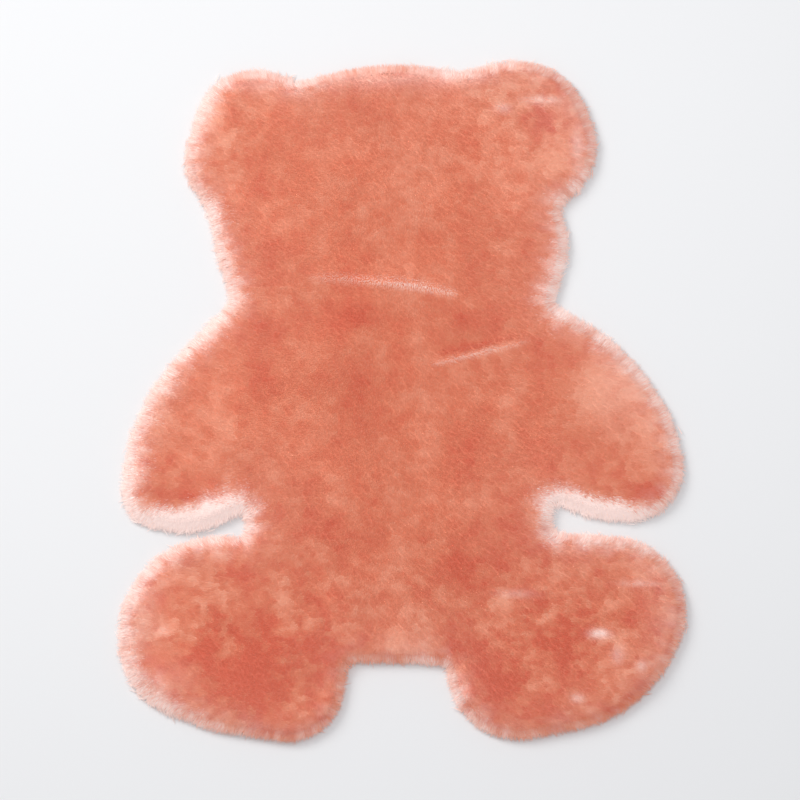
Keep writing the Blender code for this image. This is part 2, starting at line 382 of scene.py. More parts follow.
class Wire:
    """A node's output that Python's arithmetic works on."""

    def __init__(self, finish, socket):
        self.finish = finish
        self.socket = socket

    def math(self, operation, *values):
        """Return this wire joined to values by a Math node."""
        inputs = dict(enumerate(values))
        node = self.finish.node("ShaderNodeMath", {"operation": operation}, inputs)
        return self.finish.wire(node)

    def __add__(self, other):
        return self.math("ADD", self, other)

    def __sub__(self, other):
        return self.math("SUBTRACT", self, other)

    def __rsub__(self, other):
        return self.math("SUBTRACT", other, self)

    def __mul__(self, other):
        return self.math("MULTIPLY", self, other)

    __radd__ = __add__
    __rmul__ = __mul__

    def __abs__(self):
        return self.math("ABSOLUTE", self)

    def part_cell(self):
        """Return how far this wire is into its cell, from 0 to 1."""
        return self.math("FRACT", self)

    def smooth(self, low, high):
        """Return a smooth step from 0 at low to 1 at high."""
        settings = {"interpolation_type": "SMOOTHSTEP"}
        inputs = {"Value": self, "From Min": low, "From Max": high}
        return self.finish.wire(self.finish.node("ShaderNodeMapRange", settings, inputs))


class Finish:
    """A material whose nodes are written as expressions."""

    def __init__(self, name):
        self.material = bpy.data.materials.new(name)
        self.material.use_nodes = True
        self.tree = self.material.node_tree
        self.tree.nodes.clear()

    def node(self, kind, settings=None, inputs=None):
        """Add a node of this kind with its settings, then fill or link its inputs."""
        node = self.tree.nodes.new(kind)
        for name, value in (settings or {}).items():
            if name == "stops":
                self.set_stops(node.color_ramp, value)
            else:
                setattr(node, name, value)
        for name, value in (inputs or {}).items():
            if isinstance(value, Wire):
                self.tree.links.new(value.socket, node.inputs[name])
            else:
                node.inputs[name].default_value = value
        return node

    @staticmethod
    def set_stops(ramp, stops):
        """Give a colour ramp its stops, as (position, colour)."""
        while len(ramp.elements) < len(stops):
            ramp.elements.new(1)
        for element, (position, shade) in zip(ramp.elements, stops):
            element.position = position
            element.color = (*shade, 1)

    def wire(self, node, output=0):
        """Return one output of a node."""
        return Wire(self, node.outputs[output])

    def mix(self, factor, first, second):
        """Return first blended into second, both colours."""
        settings = {"data_type": "RGBA"}
        inputs = {"Factor": factor, 6: as_colour(first), 7: as_colour(second)}
        return self.wire(self.node("ShaderNodeMix", settings, inputs), 2)

    def place(self):
        """Return the place on the piece."""
        return self.wire(self.node("ShaderNodeTexCoord"), "Object")

    def noise(self, scale, detail):
        """Return noise from 0 to 1 all over the piece."""
        inputs = {"Vector": self.place(), "Scale": scale, "Detail": detail}
        return self.wire(self.node("ShaderNodeTexNoise", None, inputs))

    def measure(self, name):
        """Return a number that the piece's mesh holds under this name."""
        return self.wire(self.node("ShaderNodeAttribute", {"attribute_name": name}), "Fac")

    def bump(self, height, depth, strength):
        """Return a normal raised by height, whose full rise is depth metres."""
        inputs = {"Height": height, "Distance": depth, "Strength": strength}
        return self.wire(self.node("ShaderNodeBump", None, inputs))

    def close(self, **inputs):
        """Join a Principled shader with these inputs to the output."""
        inputs = {name.replace("_", " "): value for name, value in inputs.items()}
        shader = self.wire(self.node("ShaderNodeBsdfPrincipled", None, inputs))
        self.node("ShaderNodeOutputMaterial", None, {"Surface": shader})
        return self.material


def as_colour(value):
    """Return a plain colour with its alpha, or a wire as it is."""
    return value if isinstance(value, Wire) else (*value, 1)


def coral(finish, tone, colours):
    """Return the dye's colour for a tone from 0, dark, to 1, light."""
    stops = ((0, colours.dark), (PLAIN_TONE, colours.middle), (1, colours.light))
    ramp = finish.node("ShaderNodeValToRGB", {"stops": stops}, {"Fac": tone})
    return finish.wire(ramp)


def hair_finish(colours):
    """Return the hair's material, which reads dye and tone from the hair's map."""
    finish = Finish("tip_dyed_hair")
    place = finish.wire(finish.node("ShaderNodeUVMap", {"uv_map": HAIR_MAP}))
    sides = finish.node("ShaderNodeSeparateXYZ", None, {"Vector": place})
    dye, tone = finish.wire(sides, 0), finish.wire(sides, 1)
    shade = finish.mix(dye, colours.root, coral(finish, tone, colours))
    return finish.close(
        Base_Color=shade,
        Roughness=0.85,
        Specular_IOR_Level=0.15,
        Sheen_Weight=0.12,
        Sheen_Roughness=0.5,
        Sheen_Tint=(1, 0.72, 0.6, 1),
        # Painted glow: the hair emits its own colour, in place of light scattered through it
        Emission_Color=shade,
        Emission_Strength=HAIR_GLOW,
    )


def underfur_finish(colours):
    """Return the underfur's material, matt and finely uneven, with a painted glow."""
    finish = Finish("underfur_wool")
    wool = finish.noise(scale=700, detail=3)
    flecks = 0.3
    tone = finish.measure(TONE) + (wool - 0.5) * flecks
    shade = finish.mix(finish.measure(DYE), colours.root, coral(finish, tone, colours))
    return finish.close(
        Base_Color=shade,
        Roughness=0.95,
        Specular_IOR_Level=0.1,
        Normal=finish.bump(wool, 1.5 * MM, 0.5),
        # Painted glow, as on the hairs, which also lightens the shade in the gaps between them
        Emission_Color=shade,
        Emission_Strength=HAIR_GLOW,
    )


def cloth_finish(colours):
    """Return the ground cloth's material: rows of knitted stitches, with painted shade between
    them.
    """
    stitch_width, stitch_height = 2.2 * MM, 1.6 * MM
    finish = Finish("ground_knit")
    sides = finish.node("ShaderNodeSeparateXYZ", None, {"Vector": finish.place()})
    leg = abs((finish.wire(sides, 0) * (1 / stitch_width)).part_cell() - 0.5)
    along = (finish.wire(sides, 1) * (1 / stitch_height) + leg * 1.2).part_cell()
    stitch = (1 - abs(along - 0.5) * 2).smooth(0, 0.7) * (1 - leg * 2).smooth(0, 0.35)
    wear = finish.noise(scale=35, detail=4).smooth(0.3, 0.7)
    worn = finish.mix(wear, colours.cloth, [0.9 * part for part in colours.cloth])
    # Painted shade: between the stitches the cloth is painted at 0.6 of its colour
    shade = finish.mix(stitch, [0.6 * part for part in colours.cloth], worn)
    return finish.close(Base_Color=shade, Roughness=0.9, Normal=finish.bump(stitch, 0.4 * MM, 0.6))


def floor_finish(colours):
    """Return the floor's material, plain and very slightly uneven."""
    finish = Finish("plain_floor")
    cloud = finish.noise(scale=1.5, detail=2)
    shade = finish.mix(cloud, colours.floor, [0.985 * part for part in colours.floor])
    return finish.close(Base_Color=shade, Roughness=0.7)


def select_only(thing):
    """Select one object and nothing else, and make it active."""
    bpy.ops.object.select_all(action="DESELECT")
    if thing:
        thing.hide_set(False)
        thing.select_set(True)
    bpy.context.view_layer.objects.active = thing


def piece_named(name):
    """Return a piece that an earlier operator made."""
    if name not in bpy.data.objects:
        raise RuntimeError(f"make {name} first")
    return bpy.data.objects[name]


def slab_copy(name):
    """Return a merged copy of the slab, active and in edit mode with all selected."""
    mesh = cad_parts[SLAB].data.copy()
    mesh.materials.clear()
    piece = bpy.data.objects.new(name, mesh)
    bpy.context.scene.collection.objects.link(piece)
    select_only(piece)
    bpy.ops.object.mode_set(mode="EDIT")
    bpy.ops.mesh.select_all(action="SELECT")
    bpy.ops.mesh.remove_doubles(threshold=0.001 * MM)
    return piece


def finish_piece(piece, material):
    """Give a piece its material and say what it stands for."""
    piece.data.materials.append(material)
    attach(piece, "root")
    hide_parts(SLAB)


def set_height(piece, height):
    """Move what is selected in edit mode to one height."""
    mesh = bmesh.from_edit_mesh(piece.data)
    for point in mesh.verts:
        if point.select:
            point.co.z = height
    bmesh.update_edit_mesh(piece.data)


class Edge:
    """The slab's wall seen from above, for finding how far in a place lies."""

    STEP = 1.5 * MM
    SMOOTHING = 6

    def __init__(self, cloth):
        face = max(cloth.data.polygons, key=lambda each: each.area)
        loop = [cloth.data.vertices[index].co for index in face.vertices]
        corners = np.array([point[:2] for point in loop])
        after = np.roll(corners, -1, axis=0)
        self.area = np.sum(corners[:, 0] * after[:, 1] - corners[:, 1] * after[:, 0]) / 2
        if self.area < 0:
            corners = corners[::-1]
            self.area = -self.area
        closed = np.vstack([corners, corners[:1]])
        along = np.append(0, np.cumsum(np.hypot(*np.diff(closed, axis=0).T)))
        stops = np.arange(0, along[-1], self.STEP)
        self.points = np.column_stack([np.interp(stops, along, side) for side in closed.T])
        near = self.SMOOTHING
        ahead = np.roll(self.points, -near, axis=0) - np.roll(self.points, near, axis=0)
        ahead /= np.hypot(*ahead.T)[:, None]
        self.outward = np.column_stack([ahead[:, 1], -ahead[:, 0]])
        self.tree = KDTree(len(self.points))
        for index, (x, y) in enumerate(self.points):
            self.tree.insert((x, y, 0), index)
        self.tree.balance()

    def read(self, places):
        """Return each place's depth inside the outline and its nearest wall point."""
        nearest = np.array([self.tree.find((x, y, 0))[1] for x, y in places])
        away = places - self.points[nearest]
        side = np.sum(away * self.outward[nearest], axis=1)
        depth = -np.copysign(np.hypot(*away.T), side)
        return depth + WALL_INSET, nearest

    def inside(self, places):
        """Return the places at most WALL_INSET outside the wall, with their depths."""
        depth, nearest = self.read(places)
        kept = depth > 0
        return places[kept], depth[kept], nearest[kept]

    def pale_rim(self, nearest):
        """Return the width and sharpness of the undyed rim at wall points."""
        count = len(self.points)
        spots = [self.tree.find((rim.x * MM, rim.y * MM, 0))[1] for rim in RIMS]
        along = np.arange(count)
        sharp = np.interp(along, spots, [rim.sharp for rim in RIMS], period=count)
        width = np.interp(along, spots, [rim.pale * MM for rim in RIMS], period=count)
        streak = np.column_stack([along * self.STEP, np.zeros(count)])
        width *= 1 + soft_noise(streak, RIM_STREAKS) * (1 - SHARP_LESS_STREAKED * sharp)
        return width[nearest], sharp[nearest]


def blotches(places, size, seed, stretch):
    """Return smooth noise from -1 to 1, in blotches about size across."""
    lattice = 256
    picker = np.random.default_rng(seed)
    grid = picker.uniform(-1, 1, (lattice, lattice))
    turn = 0 if stretch != 1 else picker.uniform(0, math.tau)
    x = places[:, 0] * math.cos(turn) - places[:, 1] * math.sin(turn)
    y = places[:, 0] * math.sin(turn) + places[:, 1] * math.cos(turn)
    cells = np.column_stack([x / (size * stretch), y / size]) + lattice / 2
    low = np.floor(cells).astype(int)
    part = cells - low
    part = part * part * (3 - 2 * part)
    low %= lattice
    high = (low + 1) % lattice
    foot, head = [
        grid[low[:, 0], row] * (1 - part[:, 0]) + grid[high[:, 0], row] * part[:, 0]
        for row in (low[:, 1], high[:, 1])
    ]
    return foot * (1 - part[:, 1]) + head * part[:, 1]


def soft_noise(places, layers, shift=0):
    """Return the sum of layers of smooth noise at each place. A shift changes their seeds."""
    total = np.zeros(len(places))
    for layer in layers:
        seed = SEED + layer.seed + shift
        total += layer.amount * blotches(places, layer.size, seed, layer.stretch)
    return total


def patch_sum(places, patches):
    """Return the sum of soft patches at each place."""
    total = np.zeros(len(places))
    for patch in patches:
        x = (places[:, 0] / MM - patch.x) / patch.across
        y = (places[:, 1] / MM - patch.y) / patch.along
        total += patch.amount * np.exp(-(x * x + y * y))
    return total


def tone_at(places):
    """Return the dye's tone at each place, from 0, dark, to 1, light."""
    tone = patch_sum(places, PATCHES)
    tone += soft_noise(places, TONE_BLOTCHES) * (1 + patch_sum(places, BLOTCHY))
    return np.clip(PLAIN_TONE + TONE_SPREAD * tone, *TONE_RANGE)


def rim_tint(pale):
    """Return the dye that the outermost hairs took, which is more where the rim is narrow."""
    return NARROW_RIM_TINT * np.exp(-(pale - NARROW_RIM) / TINT_FADE)


def dye_at(places, depth, nearest, edge, ragged=0):
    """Return how much dye the tips took at each place, from 0 to 1.

    Where it begins is ragged, by a share of the undyed rim's width.
    """
    pale, sharp = edge.pale_rim(nearest)
    ragged = ragged + soft_noise(places, DYE_EDGE_WAVES)
    blur = pale * (DYE_BLUR - SHARP_LESS_BLUR * sharp)
    start = pale * (DYE_START - ragged * (1 - SHARP_LESS_RAGGED * sharp))
    step = np.clip((depth - start + blur) / (2 * blur), 0, 1)
    tint = np.minimum(rim_tint(pale), MOST_TINT)
    dye = tint + (1 - tint) * step * (1.5 - 0.5 * step)
    dye *= 1 - LIMB_THINNING * np.exp(-((depth / LIMB_REACH) ** 2))
    faded = RIM_THINNING * (1 + soft_noise(places, FADED_BLOTCHES))
    faded *= np.clip(pale / USUAL_RIM, *RIM_THINNING_RANGE)
    dye *= 1 - faded * (1 - sharp) * np.exp(-((depth / RIM_REACH) ** 2))
    dye *= 1 - np.clip(patch_sum(places, BARE_SPOTS), 0, 1)
    return dye


def parting_at(places):
    """Return the lean, paleness and painted fold shade that partings give the pile at each place.
    """
    lean = np.zeros((len(places), 2))
    pale = np.zeros(len(places))
    dark = np.zeros(len(places))
    for line in PARTINGS:
        start = np.array((line.x1, line.y1)) * MM
        span = np.array((line.x2, line.y2)) * MM - start
        reach = np.hypot(*span)
        ahead = span / reach
        across = np.array((-ahead[1], ahead[0]))
        along = (places - start) @ ahead / reach
        off = (places - start) @ across - 4 * line.bow * MM * along * (1 - along)
        inside = np.clip(1 - (2 * along - 1) ** 2, 0, 1) ** 0.5 * (1 + line.rise * (along - 0.5))
        near = inside * np.exp(-((off / (2 * line.width * MM)) ** 2))
        lean += across * (PARTING_LEAN * near * np.tanh(off / MM))[:, None]
        pale += line.pale * inside * np.exp(-((off / (line.width * MM)) ** 2))
        # Painted shade: the tone is darker along a line beside the fold, for the fold's shadow
        dark += line.dark * inside * np.exp(-((off / (line.width * MM) - FOLD_SHADE_OFF) ** 2))
    return lean, pale, dark


def hex_grid(spacing, picker):
    """Return places in a jittered grid over the whole rug."""
    jitter = 0.45 * spacing
    row = spacing * math.sqrt(3) / 2
    reach = (SLAB_HIGH - SLAB_LOW) / 2
    columns = np.arange(-reach.x, reach.x, spacing)
    rows = np.arange(-reach.y, reach.y, row)
    x, y = np.meshgrid(columns, rows)
    x = x + (np.arange(len(rows)) % 2 * spacing / 2)[:, None]
    places = np.column_stack([x.ravel() + MIDDLE.x, y.ravel() + MIDDLE.y])
    return places + picker.uniform(-jitter, jitter, places.shape)


def pile_tops(places, depth):
    """Return the height of the slab's top at each place, rounded off beyond its wall."""
    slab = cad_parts[SLAB].data
    points = [point.co for point in slab.vertices]
    tree = BVHTree.FromPolygons(points, [face.vertices for face in slab.polygons])
    down = Vector((0, 0, -1))
    heights = RIM_CROWN * np.sqrt(1 - (1 - np.clip(depth / RIM_DEPTH, 0, 1)) ** 2)
    heights = np.maximum(heights, MM)
    for index in np.flatnonzero(depth > WALL_INSET):
        hit = tree.ray_cast(Vector((*places[index], 1)), down)[0]
        if hit:
            heights[index] = max(heights[index], hit.z)
    return heights


def clump_pull(places, size, picker):
    """Return the way from each place to the middle of its clump."""
    middles = hex_grid(size, picker)
    tree = KDTree(len(middles))
    for index, (x, y) in enumerate(middles):
        tree.insert((x, y, 0), index)
    tree.balance()
    nearest = np.array([tree.find((x, y, 0))[1] for x, y in places])
    return middles[nearest] - places


def facing_of(outward, share):
    """Return the pile's unit normal, which turns outward by a share of its way."""
    facing = np.column_stack([outward * share[:, None], np.ones(len(share))])
    return facing / np.linalg.norm(facing, axis=1)[:, None]


def model_hair(bent):
    """Model one hair, a unit long and three-sided. Return its points and faces."""
    middle, taper = (0.5, 0.65) if bent else (1, 0)
    select_only(None)
    bpy.ops.mesh.primitive_cone_add(
        vertices=3, radius1=1, radius2=taper, depth=middle, location=(0, 0, middle / 2)
    )
    hair = bpy.context.object
    bpy.ops.object.transform_apply(location=True)
    bpy.ops.object.mode_set(mode="EDIT")
    if bent:
        mesh = bmesh.from_edit_mesh(hair.data)
        for face in mesh.faces:
            is_top = face.normal.z > 0.9
            face.select_set(is_top)
        bmesh.update_edit_mesh(hair.data)
        bpy.ops.mesh.extrude_region_move(TRANSFORM_OT_translate={"value": (0, 0, 1 - middle)})
        bpy.ops.mesh.merge(type="CENTER")
        bpy.ops.mesh.select_all(action="SELECT")
        bpy.ops.mesh.quads_convert_to_tris()
    bpy.ops.object.mode_set(mode="OBJECT")
    points = np.array([point.co[:] for point in hair.data.vertices])
    faces = np.array([face.vertices[:] for face in hair.data.polygons])
    bpy.data.objects.remove(hair)
    return points, faces


def join_hairs(name, form, spine, radius, facing, dye, tone, material):
    """Make one mesh of a copy of form along each spine of (root, middle, tip).

    Hairs take the light as the pile's surface does there, which faces along facing.
    """
    points, faces = form
    root, middle, tip = spine
    count = len(root)
    way = (points[:, 2])[None, :, None]
    line = (1 - way) ** 2 * root[:, None] + 2 * way * (1 - way) * middle[:, None]
    line = line + way**2 * tip[:, None]
    ahead = tip - root
    ahead /= np.linalg.norm(ahead, axis=1)[:, None]
    side = np.cross(ahead, SIDE_HINT)
    side /= np.linalg.norm(side, axis=1)[:, None]
    lift = np.cross(ahead, side)
    off = points[None, :, :1] * side[:, None] + points[None, :, 1:2] * lift[:, None]
    line += radius[:, None, None] * off
    normals = facing[:, None] + OWN_ROUNDNESS * (off + ahead[:, None])
    corners = (faces[None] + len(points) * np.arange(count)[:, None, None]).reshape(-1, 3)

    mesh = bpy.data.meshes.new(name)
    mesh.vertices.add(count * len(points))
    mesh.vertices.foreach_set("co", line.ravel())
    mesh.loops.add(corners.size)
    mesh.loops.foreach_set("vertex_index", corners.ravel())
    mesh.polygons.add(len(corners))
    mesh.polygons.foreach_set("loop_start", np.arange(0, corners.size, 3))
    mesh.update(calc_edges=True)
    mesh.shade_smooth()
    mesh.normals_split_custom_set_from_vertices(normals.reshape(-1, 3))

    along = dye[:, :1] + (dye[:, 1:] - dye[:, :1]) * points[None, :, 2]
    across = along + HAIR_MAP_WIDTH * points[None, :, 0]
    up = tone[:, None] + HAIR_MAP_WIDTH * points[None, :, 1]
    places = np.stack([across, up], axis=2).reshape(-1, 2)
    layer = mesh.uv_layers.new(name=HAIR_MAP)
    layer.uv.foreach_set("vector", places[corners.ravel()].ravel())
    piece = bpy.data.objects.new(name, mesh)
    bpy.context.scene.collection.objects.link(piece)
    finish_piece(piece, material)


class RUG_OT_ground_cloth(bpy.types.Operator):
    """Cut the knitted ground cloth to the slab's wall"""

    bl_idname = "rug.ground_cloth"
    bl_label = "Ground cloth"

    def execute(self, context):
        sizes = context.scene.rug_sizes
        piece = slab_copy("ground_cloth")
        bpy.ops.mesh.bisect(
            plane_co=(0, 0, CUT_HEIGHT), plane_no=(0, 0, 1), clear_inner=True, clear_outer=True
        )
        bpy.ops.mesh.select_all(action="SELECT")
        set_height(piece, FLOOR_GAP)
        bpy.ops.mesh.edge_face_add()
        bpy.ops.mesh.extrude_region_move(TRANSFORM_OT_translate={"value": (0, 0, sizes.cloth)})
        bpy.ops.mesh.select_all(action="SELECT")
        bpy.ops.mesh.normals_make_consistent(inside=False)
        bpy.ops.object.mode_set(mode="OBJECT")
        finish_piece(piece, cloth_finish(context.scene.rug_colours))
        return {"FINISHED"}


class RUG_OT_underfur(bpy.types.Operator):
    """Shape the dense underfur that lies below the tips"""

    bl_idname = "rug.underfur"
    bl_label = "Underfur"

    # The wool took this share of the tips' dye
    DYE_SHARE = 0.9

    def execute(self, context):
        sizes = context.scene.rug_sizes
        edge = Edge(piece_named("ground_cloth"))
        piece = slab_copy("underfur")
        bpy.ops.mesh.bisect(plane_co=(0, 0, CUT_HEIGHT), plane_no=(0, 0, 1), clear_inner=True)
        bpy.ops.mesh.select_all(action="SELECT")
        bpy.ops.transform.shrink_fatten(value=-sizes.underfur)
        bpy.ops.object.mode_set(mode="OBJECT")
        rounding = piece.modifiers.new("rounding", "SUBSURF")
        rounding.levels = rounding.render_levels = 1
        bpy.ops.object.modifier_apply(modifier=rounding.name)
        bpy.ops.object.mode_set(mode="EDIT")
        bpy.ops.mesh.select_mode(type="EDGE")
        bpy.ops.mesh.select_all(action="DESELECT")
        bpy.ops.mesh.select_non_manifold(extend=False)
        bpy.ops.mesh.extrude_region_move(TRANSFORM_OT_translate={"value": (0, 0, 0)})
        set_height(piece, FLOOR_GAP + sizes.cloth)
        bpy.ops.mesh.edge_face_add()
        bpy.ops.mesh.select_all(action="SELECT")
        bpy.ops.mesh.normals_make_consistent(inside=False)
        bpy.ops.object.mode_set(mode="OBJECT")
        piece.data.shade_smooth()

        count = len(piece.data.vertices)
        places = np.zeros(count * 3)
        piece.data.vertices.foreach_get("co", places)
        places = places.reshape(-1, 3)[:, :2]
        depth, nearest = edge.read(places)
        for name, values in (
            (DYE, self.DYE_SHARE * dye_at(places, depth, nearest, edge)),
            (TONE, tone_at(places)),
        ):
            attribute = piece.data.attributes.new(name, "FLOAT", "POINT")
            attribute.data.foreach_set("value", values)
        finish_piece(piece, underfur_finish(context.scene.rug_colours))
        return {"FINISHED"}


class RUG_OT_pile(bpy.types.Operator):
    """Plant the tip-dyed pile, one piece for each part of the bear"""

    bl_idname = "rug.pile"
    bl_label = "Pile"

    # How far hairs lean, as a slope: out over the rim, each at random, and with the nap,
    # which lies towards the feet, out to both sides, and more to the feet in the middle
    RIM_SPLAY = 1.9
    SPLAY_DEPTH = 11 * MM
    SPLAY_POWER = 1.3
    STRAY_LEAN = 0.06
    NAP = (0, -0.15)
    SIDE_NAP = 0.42
    SIDE_NAP_REACH = 120 * MM
    MIDDLE_NAP = 0.35
    MIDDLE_NAP_REACH = 130 * MM
    MIDDLE_NAP_DEPTH = 50 * MM

    # How hairs differ, as shares of their length and radius, and how far their tips
    # draw into clumps, part and stand uneven
    LENGTHS = (0.85, 1.1)
    RADII = (0.8, 1.15)
    CLUMPING = 0.18
    PARTED_TIPS = 2 * MM
    UNEVEN_TIPS = (-0.6 * MM, 0.3 * MM)
    UNEVEN_DEPTH = 20 * MM
    LEAST_UNEVEN = 0.15

    # How hairs took the dye, each a little differently, and less at their roots
    RAGGED_DYE = 0.35
    STRAY_DYE = 0.015
    DYE_RANGE = (0.02, 0.97)
    ROOT_DYE = 0.8
    CLUMPED_TONE = 0.8
    STRAY_TONE = 0.02
    BLOTCHY_STRAYS = 1.5
    BARED_TONE = 0.8

    # How far the pile's surface turns outward at the rim
    RIM_FACING = 0.9
    RIM_FACING_DEPTH = 7 * MM

    def lean(self, places, depth, outward, picker):
        """Return how far each hair leans across and along the bear, as slopes."""
        splay = self.RIM_SPLAY * np.exp(-((depth / self.SPLAY_DEPTH) ** self.SPLAY_POWER))
        lean = outward * splay[:, None]
        for axis in range(2):
            lean[:, axis] += soft_noise(places, LEAN_WAVES, shift=axis)
        lean += picker.normal(0, self.STRAY_LEAN, lean.shape) + self.NAP
        lean[:, 0] += self.SIDE_NAP * np.tanh(places[:, 0] / self.SIDE_NAP_REACH)
        inner = np.clip(depth / self.MIDDLE_NAP_DEPTH, 0, 1)
        middle = np.exp(-((places[:, 0] / self.MIDDLE_NAP_REACH) ** 2))
        lean[:, 1] -= self.MIDDLE_NAP * inner * middle
        return lean

    def execute(self, context):
        sizes = context.scene.rug_sizes
        edge = Edge(piece_named("ground_cloth"))
        picker = np.random.default_rng(SEED)
        places, depth, nearest = edge.inside(hex_grid(sizes.spacing, picker))
        count = len(places)
        outward = edge.outward[nearest]
        parted, bared, shaded = parting_at(places)
        lean = self.lean(places, depth, outward, picker) + parted

        steepness = np.sqrt(1 + np.sum(lean**2, axis=1))
        height = sizes.hair * picker.uniform(*self.LENGTHS, count) / steepness
        clump = clump_pull(places, sizes.clump, picker)
        tip_places = places + self.CLUMPING * clump + self.PARTED_TIPS * parted
        tips = pile_tops(tip_places, edge.read(tip_places)[0])
        uneven = np.clip(depth / self.UNEVEN_DEPTH, self.LEAST_UNEVEN, 1)
        tips += picker.uniform(*self.UNEVEN_TIPS, count) * uneven
        roots = np.maximum(tips - height, FLOOR_GAP + sizes.cloth)
        tip = np.column_stack([tip_places, tips])
        root = np.column_stack([places - lean * height[:, None], roots])

        ragged = picker.normal(0, self.RAGGED_DYE, count)
        dye = dye_at(places, depth, nearest, edge, ragged) * (1 - bared)
        dye = np.clip(dye + picker.normal(0, self.STRAY_DYE, count), *self.DYE_RANGE)
        dyes = np.column_stack([self.ROOT_DYE * dye, dye])
        stray = picker.normal(0, self.STRAY_TONE, count)
        tone = tone_at(places + self.CLUMPED_TONE * clump)
        tone += stray * (1 + self.BLOTCHY_STRAYS * patch_sum(places, BLOTCHY))
        # shaded takes the painted fold shade off the tone
        tone = np.clip(tone + (self.BARED_TONE * bared - shaded), *TONE_RANGE)
        radius = sizes.hair_radius * picker.uniform(*self.RADII, count)

        facing = facing_of(outward, self.RIM_FACING * np.exp(-depth / self.RIM_FACING_DEPTH))
        form = model_hair(bent=False)
        material = hair_finish(context.scene.rug_colours)
        x, y = places.T / MM
        for part in PARTS:
            own = (x >= part.left) & (x < part.right) & (y >= part.foot) & (y < part.head)
            spine = (root[own], (root[own] + tip[own]) / 2, tip[own])
            hairs = (spine, radius[own], facing[own], dyes[own], tone[own])
            join_hairs(part.name, form, *hairs, material)
        return {"FINISHED"}


class RUG_OT_rim_fringe(bpy.types.Operator):
    """Lay loose bent hairs outward on the floor all round the rim"""

    bl_idname = "rug.rim_fringe"
    bl_label = "Rim fringe"

    # How far hairs turn aside, how they differ in length and radius, and how far they
    # reach past the wall: less when they lie high, and where the undyed rim is narrow
    SWING = 0.42
    LENGTHS = (0.7, 1.1)
    RADII = (0.7, 1.2)
    STRAY_REACH = 2.4 * MM
    HIGH_SHORTER = 3.5 * MM
    FULL_RIM = 12 * MM
    NARROWEST_CUT = 6 * MM
    NARROW_SHORTER = 0.5

    # Heights of the tips and the roots, from the lowest hairs to the highest, and of the
    # bend between them
    TIP_FOOT = 0.6 * MM
    TIP_RISE = 9.5 * MM
    TIP_POWER = 1.5
    ROOT_FOOT = 2 * MM
    ROOT_RISE = 5 * MM
    BEND_RISE = (0.5 * MM, 2.5 * MM)

    # How hairs took the dye. Those that point to the right foot, away from the window light, get
    # more dye as painted shade.
    AWAY_FROM_WINDOW = (0.7, -0.7)
    USUAL_DYE = 0.85
    PAINTED_SHADE_DYE = 0.4
    HIGH_DYE = 0.1
    STRAY_DYE = 0.12
    RAGGED_DYE = 0.3
    DYE_RANGE = (0.02, 0.95)
    USUAL_TONE = 0.75
    STRAY_TONE = 0.1

    # How far the fringe's surface turns outward, low hairs more, and less at a pale rim
    HIGH_FACING = 0.5
    LOW_FACING = 0.7
    PALE_FACING = 1.3
    PALE_RIM = 30 * MM

    def execute(self, context):
        sizes = context.scene.rug_sizes
        edge = Edge(piece_named("ground_cloth"))
        picker = np.random.default_rng(SEED + 1)
        count = sizes.fringe_hairs
        start = picker.integers(0, len(edge.points), count)
        outward = edge.outward[start]
        aside = np.column_stack([-outward[:, 1], outward[:, 0]])
        swing = picker.normal(0, self.SWING, count)
        swing += soft_noise(edge.points[start], FRINGE_SWINGS)
        heading = outward * np.cos(swing)[:, None] + aside * np.sin(swing)[:, None]

        level = picker.uniform(0, 1, count)
        pale, _ = edge.pale_rim(start)
        reach = WALL_INSET + picker.normal(0, self.STRAY_REACH, count) - self.HIGH_SHORTER * level
        reach += soft_noise(edge.points[start], FRINGE_LENGTHS)
        reach -= np.clip(self.FULL_RIM - pale, 0, self.NARROWEST_CUT) * self.NARROW_SHORTER
        long = sizes.fringe * picker.uniform(*self.LENGTHS, count)
        tip_places = edge.points[start] + outward * reach[:, None]
        root_places = tip_places - heading * long[:, None]
        tips = self.TIP_FOOT + self.TIP_RISE * level**self.TIP_POWER
        roots = self.ROOT_FOOT + self.ROOT_RISE * level
        tip = np.column_stack([tip_places, tips])
        root = np.column_stack([root_places, roots])
        middle = (root + tip) / 2
        middle[:, 2] += picker.uniform(*self.BEND_RISE, count)

        # Painted shade: hairs that face away from the window take more dye, so the rim there looks
        # shaded
        away = np.clip(outward @ self.AWAY_FROM_WINDOW, 0, 1)
        dye = rim_tint(pale) * (self.USUAL_DYE + self.PAINTED_SHADE_DYE * away) + self.HIGH_DYE * level
        dye = np.clip(dye + picker.normal(0, self.STRAY_DYE, count), *self.DYE_RANGE)
        ragged = picker.normal(0, self.RAGGED_DYE, count)
        root_dye = dye_at(root_places, *edge.read(root_places), edge, ragged)
        dyes = np.column_stack([root_dye, dye])
        tone = np.clip(self.USUAL_TONE + picker.normal(0, self.STRAY_TONE, count), *TONE_RANGE)
        radius = sizes.fringe_radius * picker.uniform(*self.RADII, count)
        material = bpy.data.materials["tip_dyed_hair"]
        form = model_hair(bent=True)
        turned = self.HIGH_FACING + self.LOW_FACING * (1 - level)
        turned *= np.clip(self.PALE_FACING - pale / self.PALE_RIM, 0, 1)
        hairs = ((root, middle, tip), radius, facing_of(outward, turned), dyes, tone)
        join_hairs("rim_fringe", form, *hairs, material)
        return {"FINISHED"}


